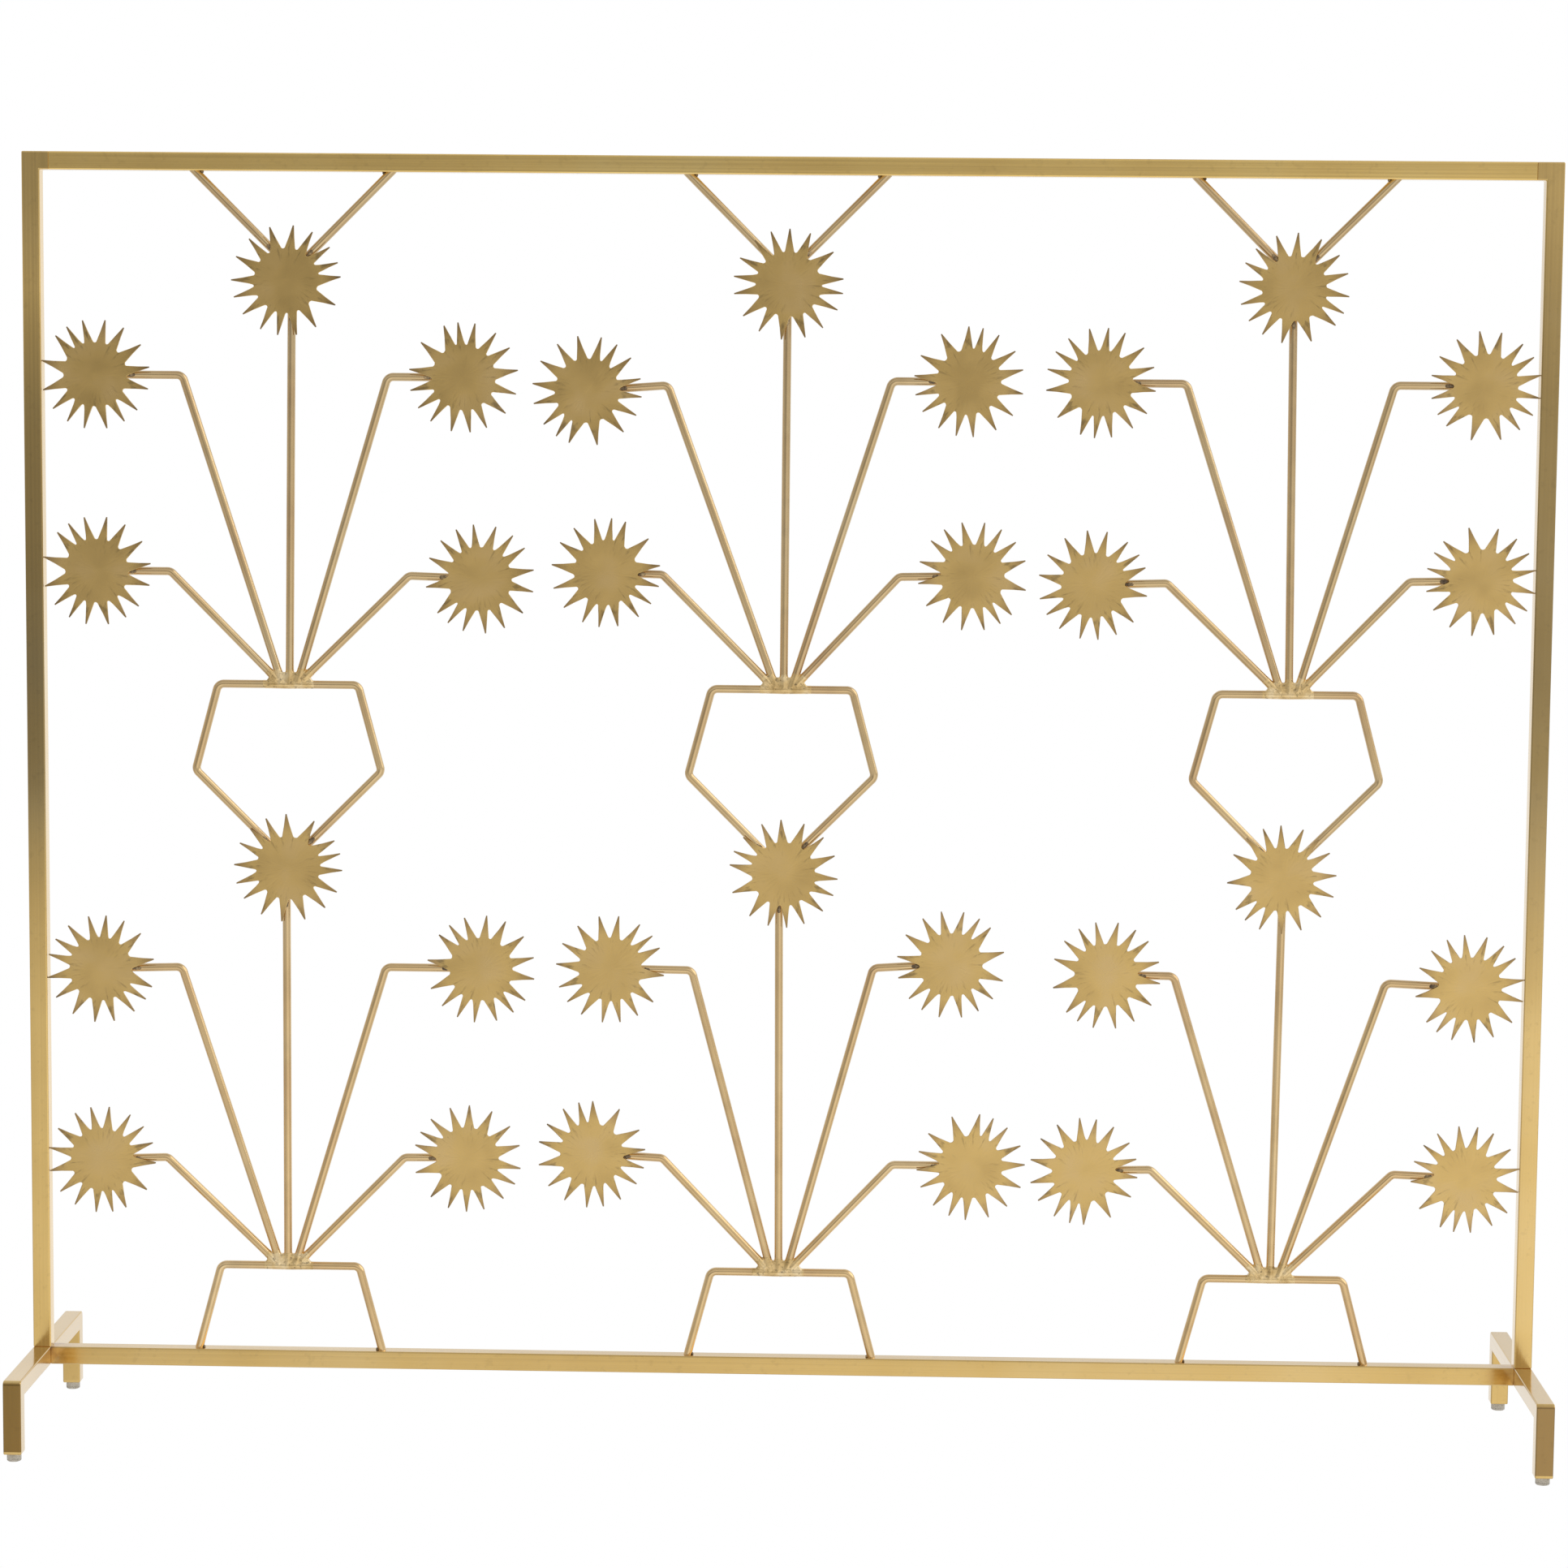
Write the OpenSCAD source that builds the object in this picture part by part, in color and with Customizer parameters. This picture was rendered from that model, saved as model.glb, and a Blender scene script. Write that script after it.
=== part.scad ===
// Standing fireplace screen. A frame of square brass-finished tube stands on two inverted-U feet.
// Six arrangements, each a vase with five stems, are bent from round bar and welded into the frame.
// Every stem carries a sunburst flower cut from sheet and welded to the front of the bar.
// Origin: on the floor, under the middle of the screen. X runs along the screen, Y to the rear.

/* [Frame] */
// Width over the two uprights
frame_w = 1016; // [1000:1:1030]
// Height from the floor to the top of the frame
frame_h = 860; // [852:1:875]
// Outside width of the square tube
tube_w = 12; // [11:0.5:13]
// Wall thickness of the square tube
tube_wall = 1.2; // [0.8:0.1:2]
// Height of the bottom rail's top face, and of the foot bars' top faces
rail_top = 54.5; // [50:0.5:58]
// Length of the corner piece that each upright carries along the top
corner_run = 18; // [15:1:30]

/* [Feet] */
// Depth of the feet from front to rear
foot_depth = 203; // [160:1:260]
// Thickness of the bevelled cap that closes each leg
cap_h = 2; // [1.5:0.5:3]
// Bevel around the lower edge of the cap
cap_bevel = 1.8; // [1:0.1:2]
// Diameter of the clear glides under the legs
glide_d = 9.5; // [8:0.5:10]
// Height of the glides, which lift the metal off the floor
glide_h = 5; // [3:0.5:6]
// Bevel around the lower edge of a glide
glide_bevel = 0.8; // [0.4:0.1:1.2]

/* [Vases] */
// Diameter of the round bar in the vases and stems
rod_d = 5.5; // [5:0.5:6]
// Radius of the bends, at the middle of the bar
bend_r = 5; // [4:0.5:7]
// Distance between neighbouring arrangements
column_pitch = 333; // [328:1:338]
// Height of the rims of the upper vases
upper_rim_z = 508; // [500:1:515]
// Drop from an upper rim to the lower one
row_pitch = 396; // [390:1:400]
// Half the width of a rim
rim_half = 47; // [42:1:52]
// Half the width of a vase at its shoulders
shoulder_half = 62.5; // [60:0.5:65]
// Drop from the rim to the shoulders
shoulder_drop = 58; // [54:1:62]
// Distance that the ends of a V keep from its middle line
v_gap = 4; // [3:0.5:6]
// Half the width of a V of struts where it meets the top rail
strut_half = 65; // [62:0.5:68]

/* [Stems] */
// Height of the middle flower above the rim
centre_rise = 270.5; // [266:0.5:274]
// Height of the two tall flowers above the rim
tall_rise = 205.5; // [200:0.5:210]
// Height of the two short flowers above the rim
short_rise = 75; // [70:1:80]
// Distance from the middle stem to the bend of a tall stem
tall_bend = 68; // [64:1:72]
// Distance from the middle stem to the bend of a short stem
short_bend = 80.5; // [78:0.5:84]
// Distance from the middle stem to a tall flower
tall_out = 122; // [118:1:126]
// Distance from the middle stem to a short flower
short_out = 126; // [122:1:130]
// Distance from the middle stem to the foot of a tall stem
tall_root = 5; // [4.5:0.5:6]
// Distance from the middle stem to the foot of a short stem
short_root = 5.5; // [5:0.5:7]
// Width of the ground weld where the stems meet the rim
weld_w = 32; // [30:1:36]
// Height of that weld above the middle of the rim
weld_h = 9.5; // [8:0.5:12]
// How far the weld stands out in front of the bars and behind them
weld_skin = 0.5; // [0.2:0.1:1]

/* [Flowers] */
// Thickness of the sheet
sheet = 1.5; // [1:0.5:2]
// Distance from a flower's centre to its ray tips
ray_r = 36.5; // [34:0.5:38]
// Width of a ray at its tip
ray_tip_w = 0.8; // [0.4:0.2:1.6]
// Distance from a flower's centre to the bottom of a wide notch
notch_r = 21.2; // [19:0.2:24]
// How much shallower a notch gets for each degree that it is narrower than notch_full
notch_rise = 0.2; // [0:0.05:0.3]
// Angle between rays from which a notch has its full depth
notch_full = 24; // [20:1:28]
// Curve of a ray's flanks: 1 is straight, 2 is a parabola
flank_power = 1.7; // [1.2:0.1:2.5]

/* [Hidden] */
$fn = 48;
rod_r = rod_d / 2;
inner_x = frame_w / 2 - tube_w;
slack = 1;
// A bend is swollen by this much all round, and its runs enter it by bend_lap
bend_swell = 0.02;
bend_lap = 0.2;
// Gap between a short stem's cut end and the tall stem beside it, filled by the weld
root_gap = 0.05;
brass = "#B99B5C";
dark_brass = "#A58A50";
steps = [0.75, 0.5, 0.25];

// Bearings of the sixteen rays, and of the notch that follows each ray
RAYS = [14, 44, 59, 77, 101, 122, 147, 172, 195, 220, 238, 258, 282, 301, 321, 343];
NOTCHES = [26, 52, 70, 90, 111, 135, 162, 184, 209, 230, 250, 273, 292, 311, 332, 358];

ROWS = ["upper", "lower"];
COLUMNS = ["left", "middle", "right"];
FLOWERS = ["centre", "left_tall", "right_tall", "left_short", "right_short"];

// How each flower was set by hand: [turn in degrees, turned over, up, outwards]. A flower beside
// an upright has no outward value, because it goes out until its rays touch the upright.
SET_OUT = [
    [ // upper row: the left, middle and right arrangement
        [[320, 0, -2, 0], [180, 1, 0], [155, 1, 0, -4], [180, 1, 0], [175, 0, -3, 3]],
        [[50, 1, -2, 0], [295, 1, -8, 11], [135, 1, 0, -2], [25, 0, 2, -6], [0, 1, 2, -2]],
        [[275, 0, -2, 0], [205, 0, 0, 4], [270, 1, 0], [335, 0, -3, 3], [90, 0, 2]]
    ],
    [ // lower row
        [[75, 1, 2, 0], [25, 1, -3], [185, 1, 0, 8], [340, 1, -3], [210, 1, 1, -5]],
        [[215, 1, 2, 0], [340, 0, 1, -6], [0, 0, 7, -9], [45, 0, 5, 2], [125, 1, 0, 2]],
        [[170, 0, 2, 0], [180, 0, 1, -6], [175, 0, -5], [315, 1, -2, 3], [200, 0, -4]]
    ]
];

// How far to the right each V of struts and each vase stands from the middle of its column
STRUT_SET = [4.4, -1.1, 0.6];
VASE_SET = [[0, -2, 1.6], [0, 0, 0]];

// How far to the right the stems of an arrangement were set by hand: all their feet, the head of
// the middle stem, then the bends of the left tall, right tall, left short and right short stems
STEM_SET = [
    [[1, 3.4, -1.9, 1.1, 1.9, -0.8], [-1, -0.5, -5.9, 2.2, -4.9, -4.3], [2.4, 0, 0.8, 0, 2.2, 0.3]],
    [[-1.5, -1.6, -4.6, -6.6, -2.7, 0], [-1.1, -3, 3.8, -2.7, 1.1, -6.6], [-1.9, 1.1, -5.5, 3.3, -1.9, -1.9]]
];

function arrangement_name(row, column) = str(ROWS[row], "_", COLUMNS[column]);
function vase_name(row, column) = str(arrangement_name(row, column), "_vase");
function stems_name(row, column) = str(arrangement_name(row, column), "_stems");
function flower_name(row, column, f) = str(arrangement_name(row, column), "_", FLOWERS[f], "_flower");

// ---- places ----

function column_x(column) = (column - 1) * column_pitch;
function rim_z(row) = upper_rim_z - row * row_pitch;
function feet_set(row, column) = STEM_SET[row][column][0];
// -1 for a flower on the left of its vase, 1 on the right, 0 for the middle one
function side_of(f) = [0, -1, 1, -1, 1][f];
function rise_of(f) = [centre_rise, tall_rise, tall_rise, short_rise, short_rise][f];
function out_of(f) = [0, tall_out, tall_out, short_out, short_out][f];
function bend_of(f) = [0, tall_bend, tall_bend, short_bend, short_bend][f];
function root_of(f) = [0, tall_root, tall_root, short_root, short_root][f];

// ---- the outline of a flower ----

function wrapped(angle, from) = angle < from ? angle + 360 : angle;
function notch_depth(gap) = notch_r + notch_rise * max(0, notch_full - gap);
function flank(tip, notch, depth, u) =
    [notch + (tip - notch) * u, depth + (ray_r - depth) * pow(u, flank_power)];

// Bearing and distance of every corner of the outline, from each ray to the next
function outline() = [
    for (k = [0:len(RAYS) - 1])
        let (
            half_tip = asin(ray_tip_w / 2 / ray_r),
            ray = RAYS[k],
            notch = NOTCHES[k],
            next = wrapped(RAYS[(k + 1) % len(RAYS)], ray),
            depth = notch_depth(next - ray)
        )
        each concat(
            [[ray + half_tip, ray_r]],
            [for (u = steps) flank(ray + half_tip, notch, depth, u)],
            [[notch, depth]],
            [for (i = [len(steps) - 1:-1:0]) flank(next - half_tip, notch, depth, steps[i])],
            [[next - half_tip, ray_r]]
        )
];

// The same corners as [x, z] once the flower is turned over and turned round
function set_outline(turn, over) = [
    for (corner = outline())
        let (bearing = over ? turn - corner[0] : turn + corner[0])
        corner[1] * [cos(bearing), sin(bearing)]
];

function set_out(row, column, f) = SET_OUT[row][column][f];
function flower_outline(row, column, f) =
    set_outline(set_out(row, column, f)[0], set_out(row, column, f)[1] == 1);
// How far the flower's rays reach towards the upright beside it
function flower_reach(row, column, f) =
    max([for (point = flower_outline(row, column, f)) point[0] * side_of(f)]);
function beside_upright(column, f) = side_of(f) != 0 && column - 1 == side_of(f);
function flower_out(row, column, f) =
    beside_upright(column, f)
        ? inner_x - column_pitch - flower_reach(row, column, f)
        : out_of(f) + set_out(row, column, f)[3];
function flower_up(row, column, f) = rise_of(f) + set_out(row, column, f)[2];
// The bend follows half of the flower's own shift
function bend_out(row, column, f) =
    bend_of(f) + (beside_upright(column, f) ? 0 : set_out(row, column, f)[3] / 2);
function bend_up(row, column, f) = rise_of(f) + set_out(row, column, f)[2] / 2;

// ---- shapes that repeat ----

// Turns a drawing in X and Y so that it stands in X and Z, its extrusion running towards the front
module stand_up() {
    rotate([90, 0, 0]) children();
}

// Hollow square tube along Z, centred on the axis
module square_tube(length) {
    difference() {
        translate([-tube_w / 2, -tube_w / 2, 0]) cube([tube_w, tube_w, length]);
        translate([-tube_w / 2 + tube_wall, -tube_w / 2 + tube_wall, -slack])
            cube([tube_w - 2 * tube_wall, tube_w - 2 * tube_wall, length + 2 * slack]);
    }
}

// Straight bar from one point to another, in the X-Y plane
module straight_rod(from, to) {
    run = to - from;
    translate([from[0], from[1], 0])
        rotate([0, 90, atan2(run[1], run[0])])
            cylinder(d = rod_d, h = norm(run));
}

// Bend at a corner of the bar's route, tangent to the runs before and after it
module rod_bend(before, corner, after) {
    u = (corner - before) / norm(corner - before);
    v = (after - corner) / norm(after - corner);
    turned = acos(u * v);
    centre = corner + (v - u) / norm(v - u) * bend_r / cos(turned / 2);
    left_turn = u[0] * v[1] - u[1] * v[0] > 0;
    spoke = corner - (left_turn ? u : -v) * bend_setback(before, corner, after) - centre;
    translate([centre[0], centre[1], 0])
        rotate([0, 0, atan2(spoke[1], spoke[0])])
            rotate_extrude(angle = turned)
                translate([bend_r, 0]) circle(r = rod_r + bend_swell);
}

// Distance from a corner of the route to where the bend starts
function bend_setback(before, corner, after) =
    let (u = (corner - before) / norm(corner - before), v = (after - corner) / norm(after - corner))
    bend_r * tan(acos(u * v) / 2);

// Point on the way from one corner to another, a given distance along
function along(from, to, distance) = from + (to - from) / norm(to - from) * distance;

// Round bar along a route of points, with a true bend at every inner corner
module bent_rod(route) {
    last = len(route) - 1;
    union() {
        for (i = [0:last - 1]) {
            start_cut = i == 0 ? 0 : bend_setback(route[i - 1], route[i], route[i + 1]) - bend_lap;
            end_cut = i == last - 1 ? 0 : bend_setback(route[i], route[i + 1], route[i + 2]) - bend_lap;
            straight_rod(
                along(route[i], route[i + 1], start_cut),
                along(route[i + 1], route[i], end_cut)
            );
        }
        for (i = [1:1:last - 1]) rod_bend(route[i - 1], route[i], route[i + 1]);
    }
}

// ---- frame ----

module top_rail() {
    run = frame_w - 2 * corner_run;
    color(brass)
        translate([-run / 2, 0, frame_h - tube_w / 2])
            rotate([0, 90, 0]) square_tube(run);
}

module bottom_rail() {
    color(brass)
        translate([-inner_x, 0, rail_top - tube_w / 2])
            rotate([0, 90, 0]) square_tube(2 * inner_x);
}

// Upright with the welded corner piece that turns in along the top. side is -1 left, 1 right.
module upright(side) {
    color(brass)
        mirror([side > 0 ? 1 : 0, 0, 0])
            difference() {
                corner_prism(0, 0);
                corner_prism(tube_wall, slack);
            }
}

// The L of the left upright, drawn smaller by inset and longer at both ends by over
module corner_prism(inset, over) {
    left = -frame_w / 2;
    thickness = tube_w - 2 * inset;
    translate([0, thickness / 2, 0])
        stand_up() linear_extrude(thickness) polygon([
            [left + inset, rail_top - over],
            [left + inset, frame_h - inset],
            [left + corner_run + over, frame_h - inset],
            [left + corner_run + over, frame_h - tube_w + inset],
            [left + tube_w - inset, frame_h - tube_w + inset],
            [left + tube_w - inset, rail_top - over]
        ]);
}

// ---- feet ----

// Prism that spans a foot's tube in X, from an outline in Y and Z
module foot_prism(side, points) {
    translate([side * (frame_w / 2 - tube_w / 2) - tube_w / 2 - slack, 0, 0])
        rotate([90, 0, 90]) linear_extrude(tube_w + 2 * slack) polygon(points);
}

// Bar from front to rear under an upright, mitred to its two legs
module foot_bar(side) {
    reach = foot_depth / 2;
    color(brass)
        intersection() {
            translate([side * (frame_w / 2 - tube_w / 2), reach, rail_top - tube_w / 2])
                rotate([90, 0, 0]) square_tube(foot_depth);
            foot_prism(side, [
                [-reach, rail_top],
                [reach, rail_top],
                [reach - tube_w, rail_top - tube_w],
                [-reach + tube_w, rail_top - tube_w]
            ]);
        }
}

// Leg of a foot. side is -1 left, 1 right, and end is -1 front, 1 rear.
module leg(side, end) {
    reach = foot_depth / 2;
    bottom = glide_h + cap_h;
    color(brass)
        intersection() {
            translate([side * (frame_w / 2 - tube_w / 2), end * (reach - tube_w / 2), bottom])
                square_tube(rail_top - bottom);
            foot_prism(side, [
                [end * reach, rail_top],
                [end * (reach - tube_w), rail_top - tube_w],
                [end * (reach - tube_w), bottom],
                [end * reach, bottom]
            ]);
        }
}

// Puts a child under each of the four legs
module under_legs() {
    for (side = [-1, 1], end = [-1, 1])
        translate([side * (frame_w / 2 - tube_w / 2), end * (foot_depth / 2 - tube_w / 2), 0])
            children();
}

// Square plate with bevelled lower edges
module end_cap() {
    half = tube_w / 2;
    outline = [
        [-half + cap_bevel, 0],
        [half - cap_bevel, 0],
        [half, cap_bevel],
        [half, cap_h],
        [-half, cap_h],
        [-half, cap_bevel]
    ];
    intersection() {
        translate([0, half, 0]) stand_up() linear_extrude(tube_w) polygon(outline);
        translate([-half, 0, 0]) rotate([90, 0, 90]) linear_extrude(tube_w) polygon(outline);
    }
}

module leg_end_caps() {
    color(brass)
        under_legs() translate([0, 0, glide_h]) end_cap();
}

// Clear round glides, stuck under the caps
module glides() {
    color("#D8D8D2")
        under_legs() union() {
            cylinder(h = glide_bevel, r1 = glide_d / 2 - glide_bevel, r2 = glide_d / 2);
            translate([0, 0, glide_bevel]) cylinder(h = glide_h - glide_bevel, d = glide_d);
        }
}

// ---- vases and struts ----

// The V below the shoulders runs at 45 degrees, so its point is as far down as the shoulder is out
function vase_route(row, side) =
    let (
        rim = rim_z(row),
        shoulder = rim - shoulder_drop,
        slope = (shoulder_half - rim_half) / shoulder_drop,
        v_point = shoulder - shoulder_half,
        foot_z = rail_top - slack - rod_d
    )
    row == 0
        ? [[side * v_gap, v_point + v_gap], [side * shoulder_half, shoulder], [side * rim_half, rim]]
        : [[side * (rim_half + slope * (rim - foot_z)), foot_z], [side * rim_half, rim]];

function mirrored_route(route) = [for (i = [len(route) - 1:-1:0]) [-route[i][0], route[i][1]]];

// Whole vase as one bent bar. Those of the lower row end on the bottom rail.
module vase_rod(row) {
    left = vase_route(row, -1);
    stand_up() bent_rod(concat(left, mirrored_route(left)));
}

module vase(row, column) {
    color(dark_brass)
        translate([column_x(column) + VASE_SET[row][column], 0, 0])
            difference() {
                vase_rod(row);
                below(rail_top);
            }
}

// Everything under a height, within reach of one arrangement
module below(height) {
    translate([-column_pitch / 2, -tube_w / 2, height - 2 * tube_w])
        cube([column_pitch, tube_w, 2 * tube_w]);
}

// Two struts from the top rail down to the middle flower, in a V like that under a vase
module top_struts(column) {
    rail_under = frame_h - tube_w;
    v_point = rail_under - strut_half;
    over = rod_d;
    color(dark_brass)
        translate([column_x(column) + STRUT_SET[column], 0, 0])
            difference() {
                for (side = [-1, 1])
                    stand_up() straight_rod(
                        [side * v_gap, v_point + v_gap],
                        [side * (strut_half + over), rail_under + over]
                    );
                below(rail_under + 2 * tube_w);
            }
}

// ---- stems ----

// A stem's route in its own arrangement, measured from the middle of the rim
function stem_route(row, column, f) =
    let (foot = [feet_set(row, column) + side_of(f) * root_of(f), 0], set = STEM_SET[row][column][f + 1])
    f == 0
        ? [foot, [set, flower_up(row, column, 0)]]
        : [
            foot,
            [side_of(f) * bend_out(row, column, f) + set, bend_up(row, column, f)],
            [side_of(f) * flower_out(row, column, f), flower_up(row, column, f)]
        ];

module stem_rod(row, column, f) {
    stand_up() bent_rod(stem_route(row, column, f));
}

// Half space on the middle stem's side of a tall stem's outer face
module inside_of_tall(row, column, f) {
    tall = f - 2;
    route = stem_route(row, column, tall);
    run = route[1] - route[0];
    side = side_of(f);
    reach = rod_r + root_gap;
    translate([route[0][0], 0, 0])
        rotate([0, atan2(run[0], run[1]), 0])
            translate([side > 0 ? reach - weld_w : -reach, -tube_w / 2, -tube_w])
                cube([weld_w, tube_w, weld_w + tube_w]);
}

// The five stems. They stand on the rim, and a short one is cut to lie against its tall neighbour.
module stems(row, column) {
    color(dark_brass)
        translate([column_x(column), 0, rim_z(row)])
            for (f = [0:4])
                difference() {
                    stem_rod(row, column, f);
                    below(rod_r);
                    if (f > 2) inside_of_tall(row, column, f);
                }
}

// Pad of weld metal in which the feet of the stems and the middle of the rim are sunk
module stem_root_weld() {
    thickness = rod_d + 2 * weld_skin;
    base_half = weld_w / 2;
    top_half = weld_w * 0.4;
    translate([0, thickness / 2, 0])
        stand_up() linear_extrude(thickness) polygon([
            [-base_half, 0],
            [base_half, 0],
            [base_half, rod_r + weld_skin],
            [top_half, weld_h],
            [-top_half, weld_h],
            [-base_half, rod_r + weld_skin]
        ]);
}

module stem_root_welds() {
    color(brass)
        for (row = [0:1], column = [0:2])
            translate([column_x(column) + feet_set(row, column), 0, rim_z(row)]) stem_root_weld();
}

// ---- flowers ----

// Sunburst on the front of the bar, with its back face against the stem
module flower(row, column, f) {
    color(brass)
        translate([
            column_x(column) + side_of(f) * flower_out(row, column, f),
            -rod_r,
            rim_z(row) + flower_up(row, column, f)
        ])
            stand_up() linear_extrude(sheet) polygon(flower_outline(row, column, f));
}

top_rail();
bottom_rail();
upright(-1);  // left_upright
upright(1);  // right_upright
foot_bar(-1);  // left_foot_bar
leg(-1, -1);  // left_front_leg
leg(-1, 1);  // left_rear_leg
foot_bar(1);  // right_foot_bar
leg(1, -1);  // right_front_leg
leg(1, 1);  // right_rear_leg
leg_end_caps();
glides();
stem_root_welds();
for (column = [0:2])
    top_struts(column);
for (row = [0:1], column = [0:2]) {
    vase(row, column);
    stems(row, column);
    for (f = [0:4])
        flower(row, column, f);
}
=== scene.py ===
# Standing fireplace screen in brass-plated steel, made piece by piece: rails, uprights, feet, leg
# caps, glides, vases, struts, stems, root welds, flowers and tack welds, and then the studio.
import math
import random

import bmesh
import bpy
import numpy
from mathutils import Matrix, Vector
from mathutils.geometry import intersect_line_sphere


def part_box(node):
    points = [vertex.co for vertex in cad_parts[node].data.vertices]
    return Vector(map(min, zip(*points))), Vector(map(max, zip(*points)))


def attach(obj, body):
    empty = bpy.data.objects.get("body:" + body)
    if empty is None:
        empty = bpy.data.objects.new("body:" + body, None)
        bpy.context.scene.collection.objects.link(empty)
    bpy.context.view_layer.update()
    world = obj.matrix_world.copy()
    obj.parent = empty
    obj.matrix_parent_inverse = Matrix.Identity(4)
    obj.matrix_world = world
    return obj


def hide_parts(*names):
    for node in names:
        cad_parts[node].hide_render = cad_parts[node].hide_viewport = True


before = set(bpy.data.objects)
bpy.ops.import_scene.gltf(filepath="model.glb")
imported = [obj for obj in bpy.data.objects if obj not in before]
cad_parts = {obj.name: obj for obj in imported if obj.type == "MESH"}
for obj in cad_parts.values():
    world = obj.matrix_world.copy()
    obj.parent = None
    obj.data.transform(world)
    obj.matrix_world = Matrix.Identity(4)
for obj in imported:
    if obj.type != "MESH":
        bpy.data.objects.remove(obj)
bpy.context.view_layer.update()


# ---- Top and bottom rails ----
# Two lengths of 12 mm square steel tube, brass-plated and polished along their length. The top rail
# is butt-welded between the corner pieces of the uprights, and the bottom rail between the foot bars.

TUBE_EDGE = 0.0009
SEAM_EDGE = 0.00018
# how far from each end of the bottom rail its plate is painted darker: painted reflection
PAINTED_END_REACH = 0.018
BRASS = (0.73, 0.49, 0.16, 1)
PALE_BRASS = (0.77, 0.54, 0.21, 1)
DEEP_BRASS = (0.67, 0.44, 0.135, 1)
LACQUER = 0.8
LACQUER_ROUGH = 0.06
GRAIN_ALONG_X = (3, 900, 900)
DEEPLY_BRUSHED = 0.0001
BRUSHED = 0.00006
LIGHTLY_BRUSHED = 0.00003
# how much lighter the top rail's plate is painted: painted reflection
TOP_RAIL_PAINTED_LIGHT = (1.32, 1.36, 1.36)
SAME_PLACE = 1e-5


def add_node(tree, kind, inputs=None, **settings):
    """Adds a shader node, sets its options, and sets or links its inputs."""
    node = tree.nodes.new(kind)
    for name, value in settings.items():
        setattr(node, name, value)
    for socket, value in (inputs or {}).items():
        if isinstance(value, bpy.types.NodeSocket):
            tree.links.new(value, node.inputs[socket])
        else:
            node.inputs[socket].default_value = value
    return node


def ramp(tree, factor, stops):
    """Colour ramp with the given (position, colour) stops, where a colour may be one grey number."""
    node = add_node(tree, "ShaderNodeValToRGB", {"Fac": factor})
    elements = node.color_ramp.elements
    while len(elements) < len(stops):
        elements.new(1)
    for element, (position, colour) in zip(elements, stops):
        element.position = position
        element.color = colour if isinstance(colour, tuple) else (colour, colour, colour, 1)
    return node.outputs["Color"]


def tint(tree, amount, colour, shade):
    """Multiplies a colour by a shade, by an amount from 0 to 1."""
    node = add_node(tree, "ShaderNodeMix", {0: amount, 6: colour, 7: shade},
                    data_type="RGBA", blend_type="MULTIPLY")
    return node.outputs[2]


def noise(tree, place, scale, detail=2):
    """Soft random pattern."""
    pattern = add_node(tree, "ShaderNodeTexNoise", {"Vector": place, "Scale": scale, "Detail": detail})
    return pattern.outputs["Fac"]


def new_metal(name):
    """Starts a lacquered metal, and gives back the material, its tree, its shader and object coordinates."""
    material = bpy.data.materials.new(name)
    material.use_nodes = True
    tree = material.node_tree
    shader = tree.nodes["Principled BSDF"]
    shader.inputs["Metallic"].default_value = 1
    shader.inputs["Coat Weight"].default_value = LACQUER
    shader.inputs["Coat Roughness"].default_value = LACQUER_ROUGH
    return material, tree, shader, add_node(tree, "ShaderNodeTexCoord").outputs["Object"]


def tube_brass(name, grain, brushed, shade=(1, 1, 1)):
    """Plate on tube. grain is how fast the polishing lines change along each axis, brushed their depth."""
    tones = [tuple(min(0.98, part * by) for part, by in zip(tone, shade)) + (1,)
             for tone in (DEEP_BRASS, BRASS, PALE_BRASS)]
    material, tree, shader, place = new_metal(name)
    along = add_node(tree, "ShaderNodeMapping", {"Vector": place, "Scale": grain}).outputs["Vector"]
    lines = noise(tree, along, 1, 3)
    colour = ramp(tree, noise(tree, place, 9, 4), [(0.3, tones[0]), (0.5, tones[1]), (0.75, tones[2])])
    colour = tint(tree, 1.0, colour, ramp(tree, lines, [(0.3, 0.93), (0.6, 1.0)]))
    colour = tint(tree, 0.5, colour, ramp(tree, noise(tree, place, 240), [(0.28, 0.85), (0.4, 1.0)]))
    tree.links.new(colour, shader.inputs["Base Color"])
    tree.links.new(ramp(tree, lines, [(0.25, 0.12), (0.75, 0.22)]), shader.inputs["Roughness"])
    wave = add_node(tree, "ShaderNodeBump",
                    {"Height": noise(tree, place, 18, 1), "Strength": 0.25, "Distance": 0.0005})
    fine = add_node(tree, "ShaderNodeBump",
                    {"Height": lines, "Normal": wave.outputs[0], "Strength": 0.5, "Distance": brushed})
    tree.links.new(fine.outputs[0], shader.inputs["Normal"])
    return material, tree, shader, colour, place


def on_front_face(tree, place, front):
    """1 on a face that looks to the front and lies at that Y, and 0 elsewhere."""
    back = add_node(tree, "ShaderNodeSeparateXYZ", {"Vector": place}).outputs["Y"]
    return add_node(tree, "ShaderNodeMapRange", {"Value": back, "From Min": front + TUBE_EDGE,
                    "From Max": front + TUBE_EDGE / 3}).outputs["Result"]


def solid_from_face(corners, travel):
    """Makes one face from its corners and extrudes it into a solid."""
    mesh = bmesh.new()
    face = mesh.faces.new([mesh.verts.new(corner) for corner in corners])
    swept = bmesh.ops.extrude_face_region(mesh, geom=[face])
    far_side = [item for item in swept["geom"] if isinstance(item, bmesh.types.BMVert)]
    bmesh.ops.translate(mesh, vec=travel, verts=far_side)
    bmesh.ops.recalc_face_normals(mesh, faces=mesh.faces)
    return mesh


def tube_between(low, high):
    """Outside of a tube with the given lowest and highest corners, running along X."""
    corners = [(low.x, low.y, low.z), (low.x, high.y, low.z), (low.x, high.y, high.z), (low.x, low.y, high.z)]
    return solid_from_face(corners, (high.x - low.x, 0, 0))


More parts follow.
